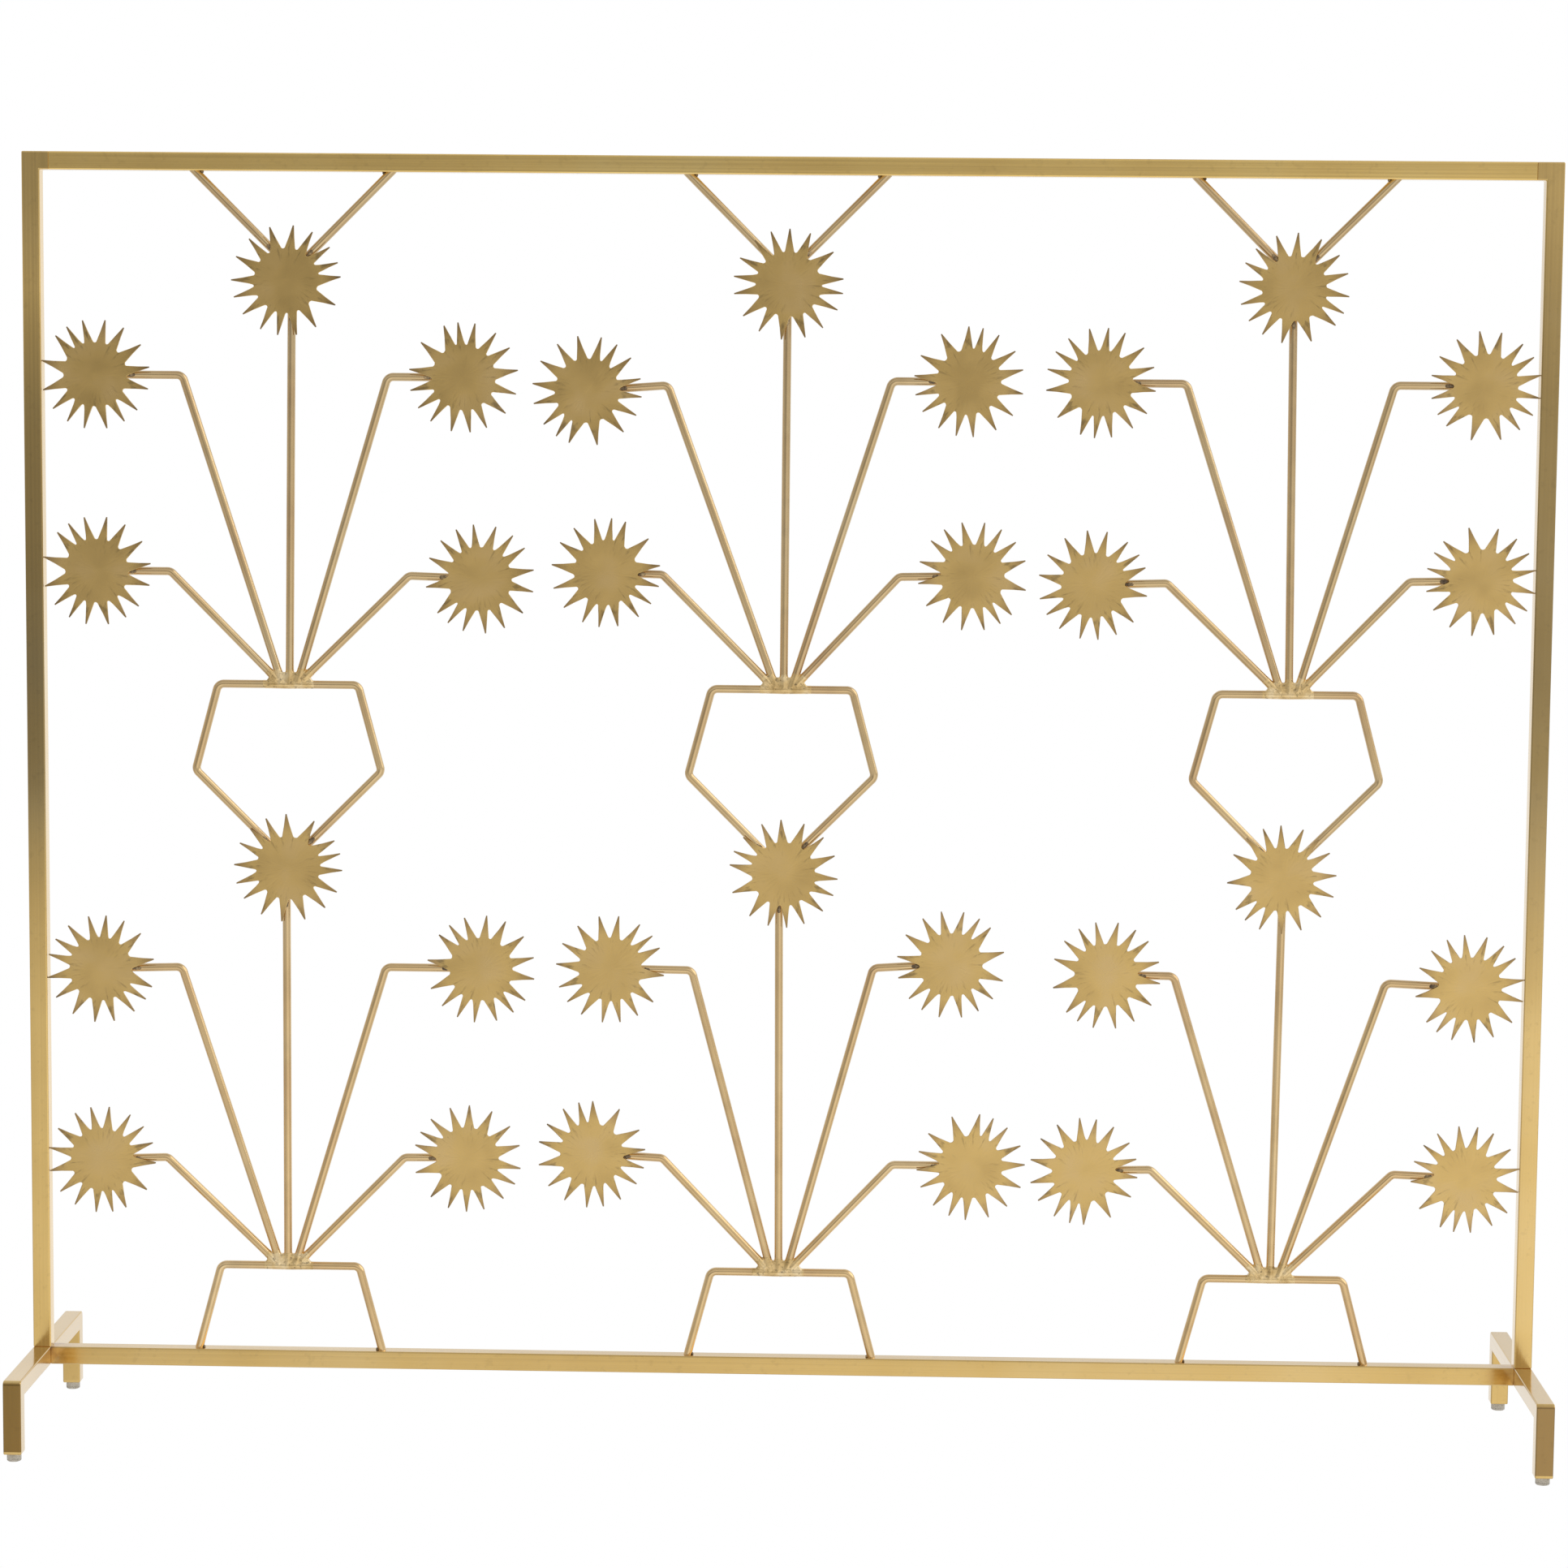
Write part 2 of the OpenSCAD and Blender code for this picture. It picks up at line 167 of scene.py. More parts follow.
def round_edges(mesh, edges, width, segments=3):
    """Rounds off the given edges."""
    bmesh.ops.bevel(mesh, geom=edges, offset=width, segments=segments, profile=0.5,
                    affect="EDGES", material=-1, clamp_overlap=True)


def ends_on(edge, axis, value):
    """Whether both ends of an edge lie at one value of X, Y or Z (axis 0, 1 or 2)."""
    return all(abs(vert.co[axis] - value) < SAME_PLACE for vert in edge.verts)


def round_tube(mesh, is_end, end_width):
    """Rounds the long edges of a tube, and gives the edges of its ends a hairline chamfer."""
    round_edges(mesh, [edge for edge in mesh.edges if not is_end(edge)], TUBE_EDGE)
    round_edges(mesh, [edge for edge in mesh.edges if is_end(edge)], end_width, 1)


def keep_piece(name, mesh, material, nodes, sharp=35):
    """Turns a bmesh into a finished piece that stands for the given nodes of the frame."""
    bmesh.ops.recalc_face_normals(mesh, faces=mesh.faces)
    data = bpy.data.meshes.new(name)
    mesh.to_mesh(data)
    mesh.free()
    data.materials.append(material)
    data.shade_smooth()
    data.set_sharp_from_angle(angle=math.radians(sharp))
    piece = bpy.data.objects.new(name, data)
    bpy.context.scene.collection.objects.link(piece)
    piece.modifiers.new("flat faces stay flat", "WEIGHTED_NORMAL").keep_sharp = True
    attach(piece, "root")
    if nodes:
        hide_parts(*nodes)


# the top rail's plate is painted lighter than the rest, to stand for the brighter room that it mirrors:
# painted reflection
top_brass = tube_brass("top_rail_brass_painted_light", GRAIN_ALONG_X, DEEPLY_BRUSHED, TOP_RAIL_PAINTED_LIGHT)[0]
bottom_brass, tree, shader, colour, place = tube_brass("bottom_rail_brass_painted_ends", GRAIN_ALONG_X, BRUSHED)
# the plate near each end of the bottom rail, where it meets the foot bars, is painted darker and mottled:
# painted reflection of the foot bars
along_rail = add_node(tree, "ShaderNodeSeparateXYZ", {"Vector": place}).outputs["X"]
off_middle = add_node(tree, "ShaderNodeMath", {0: along_rail}, operation="ABSOLUTE").outputs[0]
rail_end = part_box("bottom_rail")[1].x
painted_ends = add_node(tree, "ShaderNodeMapRange", {"Value": off_middle, "From Min": rail_end - PAINTED_END_REACH,
                "From Max": rail_end}).outputs["Result"]
painted_end_mottle = ramp(tree, noise(tree, place, 130, 2), [(0.35, (0.50, 0.36, 0.22, 1)), (0.65, (0.92, 0.84, 0.72, 1))])
tree.links.new(tint(tree, painted_ends, colour, painted_end_mottle), shader.inputs["Base Color"])
rail_brass = {"top_rail": top_brass, "bottom_rail": bottom_brass}

for rail in ("top_rail", "bottom_rail"):
    low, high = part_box(rail)
    tube = tube_between(low, high)
    round_tube(tube, lambda edge: ends_on(edge, 0, low.x) or ends_on(edge, 0, high.x), SEAM_EDGE)
    keep_piece(rail + "_tube", tube, rail_brass[rail], [rail])


# ---- Uprights ----
# Square tube on each side, standing on its foot bar. At the top it turns the corner with a short
# mitred piece, ground smooth, and the seam to the top rail is a hairline just past the corner.

POST_SEAM_EDGE = 0.0003
GRAIN_ALONG_Z = (900, 900, 3)
# how much lighter each upright's plate is painted, and the darker band painted on their fronts: painted
# reflection
POST_PAINTED_LIGHT = {"left": (1.28, 1.31, 1.38), "right": (1.17, 1.19, 1.27)}
BAND_LOW = 0.28
BAND_HIGH = 0.85
PAINTED_REFLECTION_BAND = {
    "left": [(0.0, 1.0), (0.13, 0.9), (0.28, 0.43), (0.42, 0.35),
             (0.57, 0.47), (0.72, 0.57), (0.86, 1.0), (0.98, 0.8)],
    "right": [(0.0, 0.95), (0.13, 0.73), (0.28, 0.5), (0.42, 0.41),
              (0.57, 0.48), (0.72, 0.54), (0.86, 0.65), (0.98, 0.9)],
}

post_brass_painted_light = {}
for side, shade in POST_PAINTED_LIGHT.items():
    brass, tree, shader, colour, place = tube_brass(side + "_post_brass_painted_light", GRAIN_ALONG_Z,
                                                    LIGHTLY_BRUSHED, shade)
    # the front faces of the uprights are painted darker over the middle of their height, and each upright's
    # plate is painted lighter by its own amount: painted reflection of the room in front, not a tone of the
    # plate
    height = add_node(tree, "ShaderNodeSeparateXYZ", {"Vector": place}).outputs["Z"]
    up = add_node(tree, "ShaderNodeMapRange",
                  {"Value": height, "From Min": BAND_LOW, "From Max": BAND_HIGH}).outputs["Result"]
    painted_band = ramp(tree, up, PAINTED_REFLECTION_BAND[side])
    front = on_front_face(tree, place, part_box(side + "_upright")[0].y)
    tree.links.new(tint(tree, front, colour, painted_band), shader.inputs["Base Color"])
    post_brass_painted_light[side] = brass

for side, way in (("left", -1), ("right", 1)):
    low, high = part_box(side + "_upright")
    tube_w = high.y - low.y
    outer, arm_end = (low.x, high.x) if way < 0 else (high.x, low.x)
    inner = outer - way * tube_w
    corners = [(outer, low.y, low.z), (outer, low.y, high.z), (arm_end, low.y, high.z),
               (arm_end, low.y, high.z - tube_w), (inner, low.y, high.z - tube_w), (inner, low.y, low.z)]
    post = solid_from_face(corners, (0, tube_w, 0))
    round_tube(post, lambda edge: ends_on(edge, 2, low.z) or ends_on(edge, 0, arm_end), POST_SEAM_EDGE)
    keep_piece(side + "_upright_tube", post, post_brass_painted_light[side], [side + "_upright"])


# ---- Feet ----
# Each foot is an inverted U of the same tube: a bar from front to rear and two short legs, mitred,
# welded and ground to a small round at the corners. It is shaped whole, then cut at the mitres.

FOOT_CORNER = 0.003
GRAIN_ALONG_Y = (900, 3, 900)
LEG_GRAIN = (900, 900, 20)
# how dark the front faces of the front legs are painted: painted shade
FRONT_LEG_PAINTED_SHADE = {"left": (0.38, 0.31, 0.14, 1), "right": (0.48, 0.43, 0.38, 1)}

foot_brass = tube_brass("foot_brass", GRAIN_ALONG_Y, LIGHTLY_BRUSHED)[0]
leg_brass = tube_brass("leg_brass", LEG_GRAIN, LIGHTLY_BRUSHED)[0]
# the fronts of the front legs are painted darker and browner, the left one most of all: painted shade,
# standing for the dim floor close in front of them that they mirror
front_leg_brass_painted_shade = {}
for side, tone in FRONT_LEG_PAINTED_SHADE.items():
    brass, tree, shader, colour, place = tube_brass(side + "_front_leg_brass_painted_shade", LEG_GRAIN, LIGHTLY_BRUSHED)
    front = on_front_face(tree, place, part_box(side + "_front_leg")[0].y)
    tree.links.new(tint(tree, front, colour, tone), shader.inputs["Base Color"])
    front_leg_brass_painted_shade[side] = brass


def cut_open(mesh, point, normal):
    """Cuts off what lies on the far side of a plane, and gives back the edges round the cut."""
    everything = mesh.verts[:] + mesh.edges[:] + mesh.faces[:]
    cut = bmesh.ops.bisect_plane(mesh, geom=everything, dist=1e-6, plane_co=point, plane_no=normal,
                                 clear_outer=True)
    return [item for item in cut["geom_cut"] if isinstance(item, bmesh.types.BMEdge)]


def cut_away(mesh, point, normal):
    """Cuts off what lies on the far side of a plane, and closes the cut."""
    bmesh.ops.edgeloop_fill(mesh, edges=cut_open(mesh, point, normal))


for side in ("left", "right"):
    low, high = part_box(side + "_foot_bar")
    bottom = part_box(side + "_front_leg")[0].z
    tube_w = high.x - low.x
    corners = [(low.x, low.y, bottom), (low.x, low.y, high.z), (low.x, high.y, high.z),
               (low.x, high.y, bottom), (low.x, high.y - tube_w, bottom), (low.x, high.y - tube_w, low.z),
               (low.x, low.y + tube_w, low.z), (low.x, low.y + tube_w, bottom)]
    foot = solid_from_face(corners, (tube_w, 0, 0))
    outer_corners = [edge for edge in foot.edges if ends_on(edge, 2, high.z)
                     and (ends_on(edge, 1, low.y) or ends_on(edge, 1, high.y))]
    round_edges(foot, outer_corners, FOOT_CORNER, 4)
    arrises = [edge for edge in foot.edges if not ends_on(edge, 2, bottom)
               and (ends_on(edge, 0, low.x) or ends_on(edge, 0, high.x))]
    round_edges(foot, arrises, TUBE_EDGE)
    front_mitre = (Vector((0, low.y, high.z)), Vector((0, 1, 1)).normalized())
    rear_mitre = (Vector((0, high.y, high.z)), Vector((0, -1, 1)).normalized())
    bar = foot.copy()
    cut_away(bar, front_mitre[0], -front_mitre[1])
    cut_away(bar, rear_mitre[0], -rear_mitre[1])
    keep_piece(side + "_foot_bar_tube", bar, foot_brass, [side + "_foot_bar"])
    for end, (point, normal) in (("front", front_mitre), ("rear", rear_mitre)):
        leg = foot.copy()
        cut_away(leg, point, normal)
        # and the other leg of the foot
        cut_away(leg, Vector(), Vector((0, 1, 0)) * (1 if end == "front" else -1))
        finish = front_leg_brass_painted_shade[side] if end == "front" else leg_brass
        keep_piece(f"{side}_{end}_leg_tube", leg, finish, [f"{side}_{end}_leg"])
    foot.free()


# ---- Leg end caps ----
# A small brass plate closes the bottom of each leg. It is welded on and ground to a bevel, and its
# seam to the leg is polished away but for a fine line.

CAP_BEVEL = 0.0017


def add_lump(mesh, lump):
    """Moves a finished bmesh into another one."""
    scratch = bpy.data.meshes.new("lump")
    lump.to_mesh(scratch)
    lump.free()
    mesh.from_mesh(scratch)
    bpy.data.meshes.remove(scratch)


caps = bmesh.new()
low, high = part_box("leg_end_caps")
for x in (low.x, high.x - tube_w):
    for y in (low.y, high.y - tube_w):
        corner = Vector((x, y, low.z))
        cap = tube_between(corner, Vector((x + tube_w, y + tube_w, high.z)))
        upright_edges = [edge for edge in cap.edges
                         if abs(edge.verts[0].co.z - edge.verts[1].co.z) > 0.5 * (high.z - low.z)]
        round_edges(cap, upright_edges, TUBE_EDGE)
        round_edges(cap, [edge for edge in cap.edges if ends_on(edge, 2, low.z)], CAP_BEVEL, 2)
        add_lump(caps, cap)
keep_piece("leg_cap_plates", caps, leg_brass, ["leg_end_caps"])


# ---- Glides ----
# Clear soft-plastic bumpers, round and self-adhesive, stuck under the four caps to save the hearth.
# Their lower edge is rounded, and they are slightly frosted with handling.

GLIDE_ROUND = 0.0009
GLIDE_SIDES = 48

clear_plastic = bpy.data.materials.new("clear_plastic")
clear_plastic.use_nodes = True
tree = clear_plastic.node_tree
shader = tree.nodes["Principled BSDF"]
shader.inputs["Transmission Weight"].default_value = 0.55
shader.inputs["IOR"].default_value = 1.49
place = add_node(tree, "ShaderNodeTexCoord").outputs["Object"]
haze = noise(tree, place, 350, 3)
tree.links.new(ramp(tree, haze, [(0.3, (0.44, 0.39, 0.30, 1)), (0.7, (0.66, 0.60, 0.50, 1))]),
               shader.inputs["Base Color"])
tree.links.new(ramp(tree, haze, [(0.3, 0.2), (0.75, 0.4)]), shader.inputs["Roughness"])
scuffs = add_node(tree, "ShaderNodeBump",
                  {"Height": noise(tree, place, 900), "Strength": 0.2, "Distance": 0.0001})
tree.links.new(scuffs.outputs[0], shader.inputs["Normal"])

bumpers = bmesh.new()
low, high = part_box("glides")
glide_r = (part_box("left_front_leg")[1].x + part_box("left_front_leg")[0].x) / 2 - low.x
for x in (low.x + glide_r, high.x - glide_r):
    for y in (low.y + glide_r, high.y - glide_r):
        disc = bmesh.ops.create_circle(bumpers, cap_ends=True, radius=glide_r, segments=GLIDE_SIDES,
                                       matrix=Matrix.Translation((x, y, low.z)))
        face = disc["verts"][0].link_faces[0]
        swept = bmesh.ops.extrude_face_region(bumpers, geom=[face])
        top_verts = [item for item in swept["geom"] if isinstance(item, bmesh.types.BMVert)]
        bmesh.ops.translate(bumpers, vec=(0, 0, high.z - low.z), verts=top_verts)
round_edges(bumpers, [edge for edge in bumpers.edges if ends_on(edge, 2, low.z)], GLIDE_ROUND, 4)
top_rims = [edge for edge in bumpers.edges if ends_on(edge, 2, high.z)]
round_edges(bumpers, top_rims, GLIDE_ROUND / 3, 2)
keep_piece("clear_bumpers", bumpers, clear_plastic, ["glides"])


# ---- Vases ----
# Each vase is one round bar bent cold round a tight former. In the upper row it ends in a V, and in
# the lower row its two sides stand on the bottom rail, where they are welded and cleaned up.

ROWS = ("upper", "lower")
COLUMNS = ("left", "middle", "right")
BAR_D = 0.0055
BEND_R = 0.005
BAR_SIDES = 24
BEND_STEP = 7
RIM_HALF = 0.047
SHOULDER_HALF = 0.0625
SHOULDER_DROP = 0.058
V_GAP = 0.004

bar_brass, tree, shader, place = new_metal("bar_brass")
# drawn bar keeps a slightly pinker plate than the tube, with soft cloudy tarnish
colour = ramp(tree, noise(tree, place, 14, 4),
              [(0.3, (0.72, 0.47, 0.22, 1)), (0.5, (0.79, 0.55, 0.26, 1)), (0.72, (0.83, 0.61, 0.32, 1))])
colour = tint(tree, 1.0, colour, ramp(tree, noise(tree, place, 55), [(0.3, 0.9), (0.5, 1.0)]))
# the upper bars are a shade browner than the lower ones
height = add_node(tree, "ShaderNodeSeparateXYZ", {"Vector": place}).outputs["Z"]
colour = tint(tree, 1.0, colour, ramp(tree, height, [(0.1, 1.0), (0.85, (0.80, 0.83, 0.88, 1))]))
tree.links.new(colour, shader.inputs["Base Color"])
smear = noise(tree, place, 120, 3)
tree.links.new(ramp(tree, smear, [(0.3, 0.16), (0.75, 0.26)]), shader.inputs["Roughness"])
dents = add_node(tree, "ShaderNodeBump",
                 {"Height": noise(tree, place, 60), "Strength": 0.12, "Distance": 0.0003})
tree.links.new(dents.outputs[0], shader.inputs["Normal"])


def vase_middle(row, column):
    """The X of a vase's middle line."""
    low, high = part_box(f"{row}_{column}_vase")
    return (low.x + high.x) / 2


def column_middle(column):
    """The X of a column's middle line, on which its lower vase stands."""
    return vase_middle("lower", column)


def rim_height(row):
    """The Z of the middle of the rim bar."""
    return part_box(f"{row}_left_vase")[1].z - BAR_D / 2


def bend_bar(mesh, route):
    """Adds a round bar along a route of (x, z) points, with a spun bend at every inner corner."""
    points = [Vector((x, 0, z)) for x, z in route]
    run = (points[1] - points[0]).normalized()
    turned = Vector((0, 0, 1)).rotation_difference(run).to_matrix().to_4x4()
    ring = bmesh.ops.create_circle(mesh, cap_ends=True, radius=BAR_D / 2, segments=BAR_SIDES,
                                   matrix=Matrix.Translation(points[0]) @ turned)
    edges = list({edge for vert in ring["verts"] for edge in vert.link_edges})
    reached = points[0]
    for i in range(1, len(points)):
        run = (points[i] - points[i - 1]).normalized()
        stop = points[i]
        if i < len(points) - 1:
            after = (points[i + 1] - points[i]).normalized()
            angle = run.angle(after)
            stop = points[i] - run * BEND_R * math.tan(angle / 2)
        swept = bmesh.ops.extrude_edge_only(mesh, edges=edges)["geom"]
        verts = [item for item in swept if isinstance(item, bmesh.types.BMVert)]
        edges = [item for item in swept if isinstance(item, bmesh.types.BMEdge)]
        bmesh.ops.translate(mesh, vec=stop - reached, verts=verts)
        reached = stop
        if i < len(points) - 1:
            inward = (after - run * after.dot(run)).normalized()
            spun = bmesh.ops.spin(mesh, geom=verts + edges, cent=reached + inward * BEND_R,
                                  axis=run.cross(after).normalized(), angle=angle,
                                  steps=max(3, round(math.degrees(angle) / BEND_STEP)), use_merge=False)
            edges = [item for item in spun["geom_last"] if isinstance(item, bmesh.types.BMEdge)]
            reached = points[i] + after * BEND_R * math.tan(angle / 2)
    bmesh.ops.edgeloop_fill(mesh, edges=edges)


def mirrored(half):
    """A left half route, carried on over the middle line to the same on the right."""
    return half + [(-x, z) for x, z in reversed(half)]


def moved(route, x, z):
    """A route shifted by x and z."""
    return [(px + x, pz + z) for px, pz in route]


def cut_level(bars, height, way):
    """Cuts bars off level at a height, above it (way is 1) or below it (-1), and closes their ends."""
    cut_open(bars, (0, 0, height), (0, 0, way))
    bmesh.ops.holes_fill(bars, edges=[edge for edge in bars.edges if edge.is_boundary], sides=0)


rail_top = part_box("bottom_rail")[1].z
slope = (SHOULDER_HALF - RIM_HALF) / SHOULDER_DROP

for column in COLUMNS:
    rim = rim_height("upper")
    v_tip = -SHOULDER_DROP - SHOULDER_HALF + V_GAP
    half = [(-V_GAP, v_tip), (-SHOULDER_HALF, -SHOULDER_DROP), (-RIM_HALF, 0)]
    bar = bmesh.new()
    bend_bar(bar, moved(mirrored(half), vase_middle("upper", column), rim))
    keep_piece(f"upper_{column}_vase_bar", bar, bar_brass, [f"upper_{column}_vase"])

    rim = rim_height("lower")
    foot = rim - rail_top + BAR_D
    half = [(-RIM_HALF - slope * foot, -foot), (-RIM_HALF, 0)]
    bar = bmesh.new()
    bend_bar(bar, moved(mirrored(half), vase_middle("lower", column), rim))
    cut_level(bar, rail_top, -1)
    keep_piece(f"lower_{column}_vase_bar", bar, bar_brass, [f"lower_{column}_vase"])


# ---- Top struts ----
# Two straight bars in a V, cut to 45 degrees and welded under the top rail, run down behind the
# flower at the head of each upper arrangement and hold it from above.

rail_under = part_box("top_rail")[0].z


def strut_spread(column):
    """The X of a V's middle line, and half the width of the V where it meets the rail."""
    low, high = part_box(f"{column}_top_struts")
    return (low.x + high.x) / 2, (high.x - low.x) / 2 - BAR_D / math.sqrt(2)


for column in COLUMNS:
    middle, half_width = strut_spread(column)
    v_tip = rail_under - half_width + V_GAP
    reach = half_width + BAR_D
    bars = bmesh.new()
    for way in (-1, 1):
        route = [(way * V_GAP, v_tip), (way * reach, rail_under + BAR_D)]
        bend_bar(bars, moved(route, middle, 0))
    cut_level(bars, rail_under, 1)
    keep_piece(f"{column}_top_strut_bars", bars, bar_brass, [f"{column}_top_struts"])


# ---- Stems ----
# Five round bars fan out from the middle of each rim: a straight one, two tall and two short ones.
# Each is bent level near its end, and stops at the middle of the flower that it carries.

TALL = {"rise": 0.2055, "out": 0.122, "bend": 0.068, "root": 0.005}
SHORT = {"rise": 0.075, "out": 0.126, "bend": 0.0805, "root": 0.0055}
TIP_SHARE = 0.93
STEMS = [("centre", 0, None), ("left_tall", -1, TALL), ("right_tall", 1, TALL),
         ("left_short", -1, SHORT), ("right_short", 1, SHORT)]
# how far to the right each fan was set: its feet, the head of its middle stem, its four bends
SET_PARTS = ("feet", "centre", "left_tall", "right_tall", "left_short", "right_short")
STEM_SET = {
    ("upper", "left"): (0.001, 0.0034, -0.0019, 0.0011, 0.0019, -0.0008),
    ("upper", "middle"): (-0.001, -0.0005, -0.0059, 0.0022, -0.0049, -0.0043),
    ("upper", "right"): (0.0024, 0, 0.0008, 0, 0.0022, 0.0003),
    ("lower", "left"): (-0.0015, -0.0016, -0.0046, -0.0066, -0.0027, 0),
    ("lower", "middle"): (-0.0011, -0.003, 0.0038, -0.0027, 0.0011, -0.0066),
    ("lower", "right"): (-0.0019, 0.0011, -0.0055, 0.0033, -0.0019, -0.0019),
}


def flower_middle(node):
    """X, Z and radius of the circle through the tips of a flower's rays."""
    points = numpy.array([[vert.co.x, vert.co.z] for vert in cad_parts[node].data.vertices])
    rough = points.mean(axis=0)
    far = numpy.linalg.norm(points - rough, axis=1)
    tips = points[far > TIP_SHARE * far.max()] - rough
    terms = numpy.column_stack((2 * tips, numpy.ones(len(tips))))
    across, up, spare = numpy.linalg.lstsq(terms, (tips ** 2).sum(axis=1), rcond=None)[0]
    radius = math.sqrt(spare + across ** 2 + up ** 2)
    return rough[0] + across, rough[1] + up, radius


def stem_route(row, column, stem, side, sizes):
    """The stem's route from the rim to its flower, in the frame."""
    middle, rim = column_middle(column), rim_height(row)
    x, z, _ = flower_middle(f"{row}_{column}_{stem}_flower")
    start = BAR_D / 2
    shift = dict(zip(SET_PARTS, STEM_SET[row, column]))
    if side == 0:
        return [(middle + shift["feet"], rim + start), (middle + shift["centre"], z)]
    beside_upright = (column == "left" and side < 0) or (column == "right" and side > 0)
    out_shift = 0 if beside_upright else side * (x - middle) - sizes["out"]
    up_shift = z - rim - sizes["rise"]
    bend_x = side * (sizes["bend"] + out_shift / 2) + shift[stem]
    bend = Vector((bend_x, sizes["rise"] + up_shift / 2))
    root = Vector((shift["feet"] + side * sizes["root"], 0))
    foot = root.lerp(bend, start / bend.y)
    return [(middle + foot.x, rim + foot.y), (middle + bend.x, rim + bend.y), (x, z)]


for row in ROWS:
    for column in COLUMNS:
        fan = bmesh.new()
        for stem, side, sizes in STEMS:
            bend_bar(fan, stem_route(row, column, stem, side, sizes))
        keep_piece(f"{row}_{column}_stem_bars", fan, bar_brass, [f"{row}_{column}_stems"])


# ---- Welds at the roots of the stems ----
# Weld metal webs the fan of stem feet where it meets the rim, and washes a little way up the stems
# and along the rim. It is brushed clean, and small pits and ridges are left between the stems.

WELD_HALF = 0.0155
WELD_TOP = 0.0082
WELD_TOP_HALF = WELD_HALF * 0.72
WELD_SIDE = 0.0025
WELD_ROUND = 0.0005
WEB_THICK = 0.0044
WELD_GRID = 0.0004
SLEEVE = 0.0035
SLEEVE_SUNK = 0.001
SLEEVE_ROOT = 0.006
SLEEVE_FOOT_D = BAR_D + 0.0006
SLEEVE_TIP_D = BAR_D + 0.0001
SLEEVE_SIDES = 20
RIM_WASH = 0.004

weld_brass, tree, shader, place = new_metal("weld_brass")
pits = noise(tree, place, 380, 3)
colour = ramp(tree, noise(tree, place, 110, 3),
              [(0.3, (0.62, 0.41, 0.15, 1)), (0.5, (0.84, 0.60, 0.27, 1)), (0.66, (0.95, 0.74, 0.42, 1))])
colour = tint(tree, 1.0, colour, ramp(tree, pits, [(0.32, 0.5), (0.42, 1.0)]))
tree.links.new(colour, shader.inputs["Base Color"])
tree.links.new(ramp(tree, pits, [(0.3, 0.4), (0.7, 0.26)]), shader.inputs["Roughness"])
rough_weld = add_node(tree, "ShaderNodeBump", {"Height": pits, "Strength": 0.4, "Distance": 0.0005})
tree.links.new(rough_weld.outputs[0], shader.inputs["Normal"])


def fuse(mesh, name, grid, passes):
    """Melts overlapping lumps into one skin, and gives it back as a bmesh."""
    data = bpy.data.meshes.new(name)
    mesh.to_mesh(data)
    mesh.free()
    lump = bpy.data.objects.new(name, data)
    bpy.context.scene.collection.objects.link(lump)
    skin = lump.modifiers.new("skin", "REMESH")
    skin.mode = "VOXEL"
    skin.voxel_size = grid
    melt = lump.modifiers.new("melt", "SMOOTH")
    melt.factor = 0.5
    melt.iterations = passes
    melted = bpy.data.meshes.new_from_object(lump.evaluated_get(bpy.context.evaluated_depsgraph_get()))
    bpy.data.objects.remove(lump)
    bpy.data.meshes.remove(data)
    result = bmesh.new()
    result.from_mesh(melted)
    bpy.data.meshes.remove(melted)
    return result


def add_sleeve(mesh, start, end):
    """Adds the skin of weld that washes along a bar, thinning from one point to another."""
    run = end - start
    turned = Vector((0, 0, 1)).rotation_difference(run).to_matrix().to_4x4()
    bmesh.ops.create_cone(mesh, cap_ends=True, segments=SLEEVE_SIDES, radius1=SLEEVE_FOOT_D / 2,
                          radius2=SLEEVE_TIP_D / 2, depth=run.length,
                          matrix=Matrix.Translation((start + end) / 2) @ turned)


def flat_point(point):
    """A route's (x, z) point as a place in the frame."""
    return Vector((point[0], 0, point[1]))


random.seed(11)
welds = bmesh.new()
for row in ROWS:
    for column in COLUMNS:
        middle = column_middle(column) + STEM_SET[row, column][0]
        rim = rim_height(row)
        outline = [(-WELD_HALF, 0), (WELD_HALF, 0), (WELD_HALF, WELD_SIDE), (WELD_TOP_HALF, WELD_TOP),
                   (-WELD_TOP_HALF, WELD_TOP), (-WELD_HALF, WELD_SIDE)]
        corners = [(middle + x, -WEB_THICK / 2, rim + z) for x, z in outline]
        pad = solid_from_face(corners, (0, WEB_THICK, 0))
        round_edges(pad, pad.edges[:], WELD_ROUND, 2)
        for stem, side, sizes in STEMS:
            route = [flat_point(point) for point in stem_route(row, column, stem, side, sizes)]
            run = (route[1] - route[0]).normalized()
            start = route[0] + run * (WELD_TOP - BAR_D / 2 - SLEEVE_SUNK) / run.z
            length = SLEEVE * random.uniform(0.6, 1.3)
            add_sleeve(pad, start - run * SLEEVE_ROOT, start + run * length)
        for way in (-1, 1):
            start = Vector((middle, 0, rim))
            reach = WELD_HALF + RIM_WASH * random.uniform(0.2, 1.0)
            add_sleeve(pad, start, start + Vector((way * reach, 0, 0)))
        add_lump(welds, fuse(pad, "root_weld", WELD_GRID, 4))
keep_piece("root_weld_metal", welds, weld_brass, ["stem_root_welds"], sharp=60)


# ---- Flowers ----
# Sunbursts cut from 1.5 mm brass sheet, sixteen uneven rays each. The faces are burnished by hand,
# which leaves short scratches around the middle, and the thin tips are browned.

CUT_EDGE = 0.00025
NOTCH_ROUND = 0.0006
# the notches lie nearer the middle than this share of the radius, and turn by more than this angle
NOTCH_REACH = 0.7
NOTCH_ANGLE = 0.8
RIM_ANGLE = 1.4
# the flanks of the rays are drawn in towards the bottoms of the notches by this power
NOTCH_FLOOR = 0.57
HOLLOW = 1.4
SPOKE_SCALE = (52, 3.5, 1)

